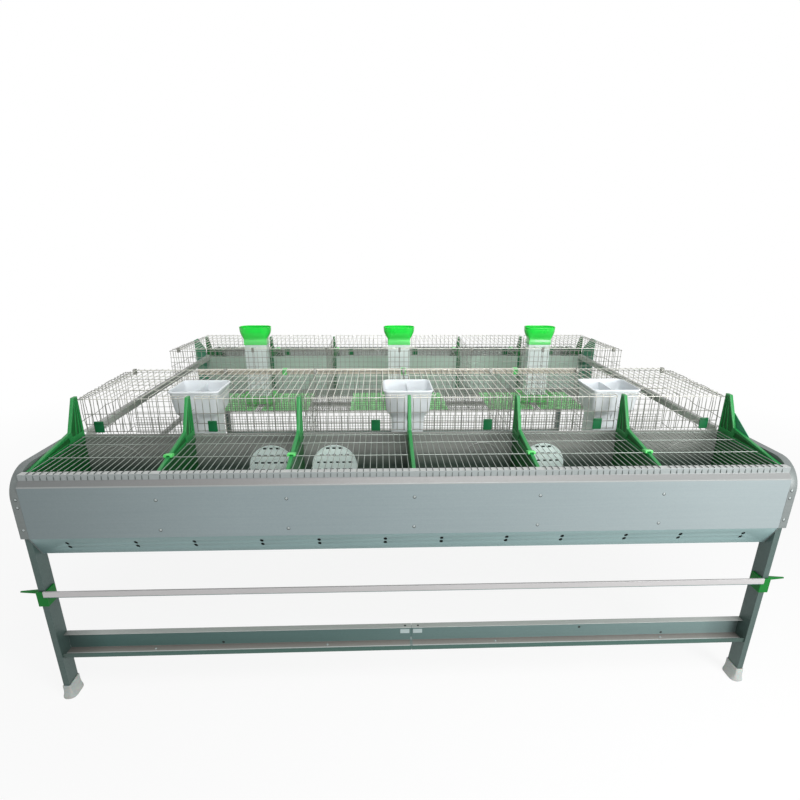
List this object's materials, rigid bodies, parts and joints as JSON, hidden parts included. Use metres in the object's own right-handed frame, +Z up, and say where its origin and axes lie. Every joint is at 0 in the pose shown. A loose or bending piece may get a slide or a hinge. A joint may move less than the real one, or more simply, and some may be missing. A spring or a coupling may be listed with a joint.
{
  "type": "rabbit breeding cage",
  "caption": "Long galvanised rabbit cage on legs: two rows of wire cells with lifting doors, nest boxes with lifting wire lids, feed hoppers and funnels.",
  "frame": {"origin": "on the floor, under the middle of the cage", "axes": "+X along the rows, +Y from the front row to the rear row, +Z up"},
  "size_m": [2.6048, 2.18, 1.11],
  "materials": {
    "wire": "bright galvanised welded wire",
    "panel": "satin galvanised sheet",
    "frame": "dull zinc coated sheet",
    "rail": "pale satin strip",
    "divider_green": "moulded, satin",
    "shield_green": "moulded, satin",
    "clamp_green": "moulded, satin",
    "funnel_green": "moulded, glossy",
    "mat_green": "moulded",
    "white_plastic": "milky, slightly translucent",
    "cover_plastic": "pale, satin",
    "foot_plastic": "milky, soft",
    "pipe_plastic": "satin"
  },
  "bodies": {
    "frame": {"cage_backs": "wire", "cage_floors": "wire", "dividers_front": "divider_green", "dividers_rear": "divider_green", "end_grids": "wire", "end_plates_left": "panel", "end_plates_right": "panel", "end_rails": "frame", "end_shields": "shield_green", "feed_funnels": "funnel_green", "feed_troughs": "funnel_green", "feed_tubes": "white_plastic", "feet": "foot_plastic", "foot_mats": "mat_green", "guard_rails": "rail", "leg_front_left": "frame", "leg_front_right": "frame", "leg_rear_left": "frame", "leg_rear_right": "frame", "lower_beams": "frame", "nest_beams": "frame", "nest_floors": "panel", "nest_front": "panel", "nest_rear": "panel", "nest_wall_front": "panel", "nest_wall_rear": "panel", "partitions": "wire", "rail_clamps": "clamp_green", "splices": "frame", "water_pipes": "pipe_plastic"},
    "cover_2": {"cover_2": "cover_plastic"},
    "cover_3": {"cover_3": "cover_plastic"},
    "cover_5": {"cover_5": "cover_plastic"},
    "door_front_1": {"door_front_1": "wire"},
    "door_front_2": {"door_front_2": "wire"},
    "door_front_3": {"door_front_3": "wire"},
    "door_front_4": {"door_front_4": "wire"},
    "door_front_5": {"door_front_5": "wire"},
    "door_front_6": {"door_front_6": "wire"},
    "door_rear_1": {"door_rear_1": "wire"},
    "door_rear_2": {"door_rear_2": "wire"},
    "door_rear_3": {"door_rear_3": "wire"},
    "door_rear_4": {"door_rear_4": "wire"},
    "door_rear_5": {"door_rear_5": "wire"},
    "door_rear_6": {"door_rear_6": "wire"},
    "hopper_1": {"hopper_1": "white_plastic"},
    "hopper_2": {"hopper_2": "white_plastic"},
    "hopper_3": {"hopper_3": "white_plastic"},
    "lid_front_1": {"lid_front_1": "wire"},
    "lid_front_2": {"lid_front_2": "wire"},
    "lid_front_3": {"lid_front_3": "wire"},
    "lid_front_4": {"lid_front_4": "wire"},
    "lid_front_5": {"lid_front_5": "wire"},
    "lid_front_6": {"lid_front_6": "wire"},
    "lid_rear_1": {"lid_rear_1": "wire"},
    "lid_rear_2": {"lid_rear_2": "wire"},
    "lid_rear_3": {"lid_rear_3": "wire"},
    "lid_rear_4": {"lid_rear_4": "wire"},
    "lid_rear_5": {"lid_rear_5": "wire"},
    "lid_rear_6": {"lid_rear_6": "wire"}
  },
  "joints": [
    {"name": "lid_front_1_lift", "type": "hinge", "parent": "frame", "child": "lid_front_1", "pos_m": [-1, -0.738, 0.86425], "axis": [-1, 0, 0], "range_deg": [0, 85]},
    {"name": "door_front_1_lift", "type": "hinge", "parent": "frame", "child": "door_front_1", "pos_m": [-1, -0.256, 1.00295], "axis": [-1, 0, 0], "range_deg": [0, 80]},
    {"name": "lid_front_2_lift", "type": "hinge", "parent": "frame", "child": "lid_front_2", "pos_m": [-0.6, -0.738, 0.86425], "axis": [-1, 0, 0], "range_deg": [0, 85]},
    {"name": "door_front_2_lift", "type": "hinge", "parent": "frame", "child": "door_front_2", "pos_m": [-0.6, -0.256, 1.00295], "axis": [-1, 0, 0], "range_deg": [0, 80]},
    {"name": "lid_front_3_lift", "type": "hinge", "parent": "frame", "child": "lid_front_3", "pos_m": [-0.2, -0.738, 0.86425], "axis": [-1, 0, 0], "range_deg": [0, 85]},
    {"name": "door_front_3_lift", "type": "hinge", "parent": "frame", "child": "door_front_3", "pos_m": [-0.2, -0.256, 1.00295], "axis": [-1, 0, 0], "range_deg": [0, 80]},
    {"name": "lid_front_4_lift", "type": "hinge", "parent": "frame", "child": "lid_front_4", "pos_m": [0.2, -0.738, 0.86425], "axis": [-1, 0, 0], "range_deg": [0, 85]},
    {"name": "door_front_4_lift", "type": "hinge", "parent": "frame", "child": "door_front_4", "pos_m": [0.2, -0.256, 1.00295], "axis": [-1, 0, 0], "range_deg": [0, 80]},
    {"name": "lid_front_5_lift", "type": "hinge", "parent": "frame", "child": "lid_front_5", "pos_m": [0.6, -0.738, 0.86425], "axis": [-1, 0, 0], "range_deg": [0, 85]},
    {"name": "door_front_5_lift", "type": "hinge", "parent": "frame", "child": "door_front_5", "pos_m": [0.6, -0.256, 1.00295], "axis": [-1, 0, 0], "range_deg": [0, 80]},
    {"name": "lid_front_6_lift", "type": "hinge", "parent": "frame", "child": "lid_front_6", "pos_m": [1, -0.738, 0.86425], "axis": [-1, 0, 0], "range_deg": [0, 85]},
    {"name": "door_front_6_lift", "type": "hinge", "parent": "frame", "child": "door_front_6", "pos_m": [1, -0.256, 1.00295], "axis": [-1, 0, 0], "range_deg": [0, 80]},
    {"name": "lid_rear_1_lift", "type": "hinge", "parent": "frame", "child": "lid_rear_1", "pos_m": [-1, 0.738, 0.86425], "axis": [1, 0, 0], "range_deg": [0, 85]},
    {"name": "door_rear_1_lift", "type": "hinge", "parent": "frame", "child": "door_rear_1", "pos_m": [-1, 0.256, 1.00295], "axis": [1, 0, 0], "range_deg": [0, 80]},
    {"name": "lid_rear_2_lift", "type": "hinge", "parent": "frame", "child": "lid_rear_2", "pos_m": [-0.6, 0.738, 0.86425], "axis": [1, 0, 0], "range_deg": [0, 85]},
    {"name": "door_rear_2_lift", "type": "hinge", "parent": "frame", "child": "door_rear_2", "pos_m": [-0.6, 0.256, 1.00295], "axis": [1, 0, 0], "range_deg": [0, 80]},
    {"name": "lid_rear_3_lift", "type": "hinge", "parent": "frame", "child": "lid_rear_3", "pos_m": [-0.2, 0.738, 0.86425], "axis": [1, 0, 0], "range_deg": [0, 85]},
    {"name": "door_rear_3_lift", "type": "hinge", "parent": "frame", "child": "door_rear_3", "pos_m": [-0.2, 0.256, 1.00295], "axis": [1, 0, 0], "range_deg": [0, 80]},
    {"name": "lid_rear_4_lift", "type": "hinge", "parent": "frame", "child": "lid_rear_4", "pos_m": [0.2, 0.738, 0.86425], "axis": [1, 0, 0], "range_deg": [0, 85]},
    {"name": "door_rear_4_lift", "type": "hinge", "parent": "frame", "child": "door_rear_4", "pos_m": [0.2, 0.256, 1.00295], "axis": [1, 0, 0], "range_deg": [0, 80]},
    {"name": "lid_rear_5_lift", "type": "hinge", "parent": "frame", "child": "lid_rear_5", "pos_m": [0.6, 0.738, 0.86425], "axis": [1, 0, 0], "range_deg": [0, 85]},
    {"name": "door_rear_5_lift", "type": "hinge", "parent": "frame", "child": "door_rear_5", "pos_m": [0.6, 0.256, 1.00295], "axis": [1, 0, 0], "range_deg": [0, 80]},
    {"name": "lid_rear_6_lift", "type": "hinge", "parent": "frame", "child": "lid_rear_6", "pos_m": [1, 0.738, 0.86425], "axis": [1, 0, 0], "range_deg": [0, 85]},
    {"name": "door_rear_6_lift", "type": "hinge", "parent": "frame", "child": "door_rear_6", "pos_m": [1, 0.256, 1.00295], "axis": [1, 0, 0], "range_deg": [0, 80]},
    {"name": "hopper_1_lift_out", "type": "slide", "parent": "frame", "child": "hopper_1", "axis": [0, 0, 1], "range_m": [0, 0.32]},
    {"name": "hopper_2_lift_out", "type": "slide", "parent": "frame", "child": "hopper_2", "axis": [0, 0, 1], "range_m": [0, 0.32]},
    {"name": "hopper_3_lift_out", "type": "slide", "parent": "frame", "child": "hopper_3", "axis": [0, 0, 1], "range_m": [0, 0.32]},
    {"name": "cover_2_pull_out", "type": "slide", "parent": "frame", "child": "cover_2", "axis": [0, -1, 0], "range_m": [0, 0.12]},
    {"name": "cover_3_pull_out", "type": "slide", "parent": "frame", "child": "cover_3", "axis": [0, -1, 0], "range_m": [0, 0.12]},
    {"name": "cover_5_pull_out", "type": "slide", "parent": "frame", "child": "cover_5", "axis": [0, -1, 0], "range_m": [0, 0.12]}
  ]
}
